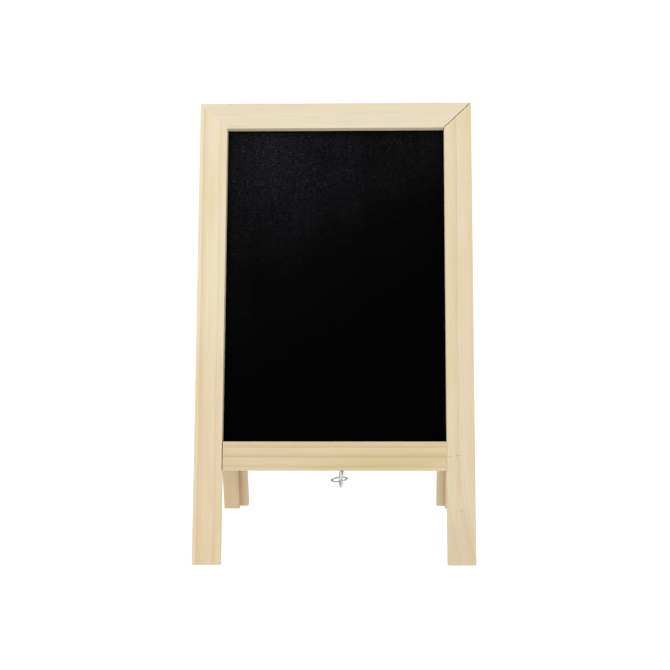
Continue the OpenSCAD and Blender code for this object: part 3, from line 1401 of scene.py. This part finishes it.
@dataclass(frozen=True)
class Studio:
    """The pale floor, the soft light and the camera.

    Attributes:
        eye: The camera's place.
        yaw: Its turn to the right, in degrees.
        pitch: Its tilt downwards, in degrees.
        roll: Its roll, in degrees.
        lens: Its focal length for a 36 mm sensor, in mm.
        shift: Its sideways shift, as a share of the picture.
        sensor: The width of its sensor, in mm.
        lamps: The lamps.
        floor_radius: The floor's radius.
        floor_grey: How much of the light the floor gives back.
        floor_glow: The floor's own brightness.
        backdrop: The brightness of the plain backdrop.
        sky_heights: The slopes between which the soft light grows.
        sky_strengths: The soft light's strengths at those slopes.
    """

    eye: tuple[float, float, float] = (0.0348, -0.8856, 0.2455)
    yaw: float = -1.14
    pitch: float = 5.78
    roll: float = -0.203
    lens: float = 62.5
    shift: float = -0.0372
    sensor: float = 36.0
    lamps: tuple[Lamp, ...] = (
        Lamp("key", (-0.62, -0.85, 1.25), 0.42, 6.6),
        Lamp("fill", (0.95, -0.9, 0.55), 0.9, 2.4),
        Lamp("rear", (0.35, 1.1, 1.0), 0.7, 6.0),
    )
    floor_radius: float = 40.0
    floor_grey: float = 0.3
    floor_glow: float = 0.9
    backdrop: float = 1.05
    sky_heights: tuple[float, float] = (-0.2, 1.0)
    sky_strengths: tuple[float, float] = (0.34, 0.7)

    def camera(self) -> None:
        """Sets up the camera."""
        yaw, pitch, roll = (math.radians(a) for a in (self.yaw, self.pitch, self.roll))
        ahead = Vector((math.sin(yaw), math.cos(yaw), 0))
        forward = ahead * math.cos(pitch) - UP * math.sin(pitch)
        level = ahead.cross(UP)
        above = level.cross(forward)
        right = level * math.cos(roll) + above * math.sin(roll)
        up = above * math.cos(roll) - level * math.sin(roll)
        data = bpy.data.cameras.new("camera")
        data.sensor_width = self.sensor
        data.lens = self.lens
        data.shift_x = self.shift
        camera = bpy.data.objects.new("camera", data)
        turn = Matrix((right, up, -forward)).transposed().to_4x4()
        camera.matrix_world = Matrix.Translation(self.eye) @ turn
        bpy.context.scene.collection.objects.link(camera)
        bpy.context.scene.camera = camera

    def floor(self) -> None:
        """Lays the pale floor."""
        bm = bmesh.new()
        bmesh.ops.create_circle(bm, cap_ends=True, segments=96, radius=self.floor_radius)
        bmesh.ops.translate(bm, verts=bm.verts, vec=(0, 0, -0.1 * MM))
        mesh = bpy.data.meshes.new("floor")
        bm.to_mesh(mesh)
        bm.free()
        floor = bpy.data.objects.new("floor", mesh)
        bpy.context.scene.collection.objects.link(floor)
        shader = Shader("pale_floor")
        shader.set(
            Base_Color=(*(self.floor_grey,) * 3, 1),
            Roughness=1.0,
            Specular_IOR_Level=0.0,
            Emission_Color=(1, 1, 1, 1),
            Emission_Strength=self.floor_glow,
        )
        mesh.materials.append(shader.material)

    def sky(self) -> None:
        """Surrounds the easel with soft light, brighter overhead."""
        world = bpy.data.worlds.new("soft_room")
        world.use_nodes = True
        tree = world.node_tree
        tree.nodes.clear()
        kinds = "OutputWorld Background Background MixShader LightPath TexCoord SeparateXYZ MapRange"
        nodes = [tree.nodes.new(f"ShaderNode{kind}") for kind in kinds.split()]
        output, seen, soft, either, path, coords, parts, height = nodes
        limits = (*self.sky_heights, *self.sky_strengths)
        for word, value in zip(("From Min", "From Max", "To Min", "To Max"), limits):
            height.inputs[word].default_value = value
        seen.inputs["Strength"].default_value = self.backdrop
        for light in (seen, soft):
            light.inputs["Color"].default_value = (1, 1, 1, 1)
        for source, target in (
            (coords.outputs["Generated"], parts.inputs[0]),
            (parts.outputs["Z"], height.inputs["Value"]),
            (height.outputs["Result"], soft.inputs["Strength"]),
            (path.outputs["Is Camera Ray"], either.inputs[0]),
            (soft.outputs[0], either.inputs[1]),
            (seen.outputs[0], either.inputs[2]),
            (either.outputs[0], output.inputs["Surface"]),
        ):
            tree.links.new(source, target)
        bpy.context.scene.world = world

    def build(self) -> None:
        """Sets up the whole studio."""
        middle = (CAD_BOX[0] + CAD_BOX[1]) / 2
        bpy.context.scene.view_settings.view_transform = "Standard"
        self.floor()
        self.sky()
        for lamp in self.lamps:
            lamp.build(middle)
        self.camera()


FRONT_WOOD = {
    "left_stile": PineFinish(
        seed=2.0, pith=(40.0, -22.0), ring=11.6, phase=0.1, pale="EADDC2", late="DBBF93",
        tint="E3D3A9", contrast=0.62, lines=0.07, wander=1.3,
        marks=(
            Mark(-81.6, 12.4, 0.35, 0.5, "7A6246", 0.0, 0.5),
            Mark(-81.2, 6.1, 0.3, 0.8, "7A6246", 0.0, 0.45),
            Mark(-92.2, 3.1, 0.6, 0.6, "8C7050", 0.0, 0.4),
            Mark(-88.5, 60.0, 2.6, 28.0, "E2BD9C", 3.0, 0.3),
            Mark(-90.0, 60.0, 16.0, 110.0, "DDBE92", 0.0, 0.28),
        ),
    ),
    "right_stile": PineFinish(
        seed=9.0, pith=(-22.0, -20.0), ring=10.5, phase=0.35, pale="E3D5B7", late="DBBC94",
        tint="E0D0A3", contrast=0.45, lines=0.03, wander=1.6, curl=11.0,
        marks=(
            Mark(82.1, 76.0, 0.45, 0.4, "A8644A", 0.0, 0.75),
            Mark(87.2, 76.4, 1.0, 0.35, "A8644A", 0.0, 0.8),
            Mark(89.8, 76.8, 0.6, 0.3, "B26A4C", 0.0, 0.6),
            Mark(90.4, 37.9, 0.3, 1.6, "6E4E38", -32.0, 0.5),
            Mark(88.8, 37.3, 0.9, 0.25, "6E4E38", 0.0, 0.4),
            Mark(87.5, 50.0, 1.6, 30.0, "DDB596", -4.0, 0.3),
            Mark(90.0, 8.0, 16.0, 34.0, "C9B296", 0.0, 0.32),
        ),
    ),
    "top_rail": PineFinish(
        seed=15.0, pith=(420.0, -40.0), ring=6.5, phase=0.2, pale="E4D9C1", late="DCC8A2",
        tint="E1D5B8", contrast=0.2, lines=0.04, wander=1.2,
        marks=(Mark(-72.0, 318.8, 9.0, 0.5, "DDA98A", 0.0, 0.6),),
    ),
    "bottom_rail": PineFinish(
        seed=21.0, pith=(190.0, -26.0), ring=6.9, phase=0.19, pale="DFCFAB", late="C6A27A",
        tint="D8C597", contrast=0.5, wander=1.3,
        marks=(
            Mark(3.0, 70.0, 1.6, 0.5, "C9BE7A", 0.0, 0.5),
            Mark(8.0, 71.5, 1.2, 0.4, "C9BE7A", 0.0, 0.5),
        ),
    ),
}

REAR_WOOD = {
    # Painted shade: this stile's colours are darker and pinker than the rear rails', standing in for
    # the shade on its inner face, which faces the front frame.
    "left_stile": PineFinish(
        seed=31.0, pith=(-160.0, -30.0), ring=8.2, phase=0.3, pale="D6C3A2", late="C6A47E",
        tint="CEB593", contrast=0.3, wander=1.6,
    ),
    # Painted shade: this stile's colours are darker than the rear rails', standing in for the shade
    # on its inner face.
    "right_stile": PineFinish(
        seed=43.0, pith=(30.0, -35.0), ring=9.4, pale="DFCEAD", late="CFAF88", tint="DBC39D",
        wander=1.8,
    ),
    "top_rail": PineFinish(
        seed=57.0, pith=(250.0, -30.0), ring=7.4, late="DDB98C", wander=1.6,
    ),
    "bottom_rail": PineFinish(
        seed=63.0, pith=(120.0, -18.0), ring=8.8, late="D5AB78", contrast=0.65, wander=1.8,
    ),
}


def main() -> None:
    """Builds every sub-assembly in order."""
    logging.basicConfig(level=logging.INFO, format="%(message)s", stream=sys.stdout)
    Studio().build()
    PineFrame(Side.FRONT, FRONT_WOOD).build()
    PineFrame(Side.REAR, REAR_WOOD).build()
    for side in Side:
        Chalkboard(side).build()
    ScrewEye().build()
    WireStay().build()
    Hardware().build()


if __name__ == "__main__":
    main()
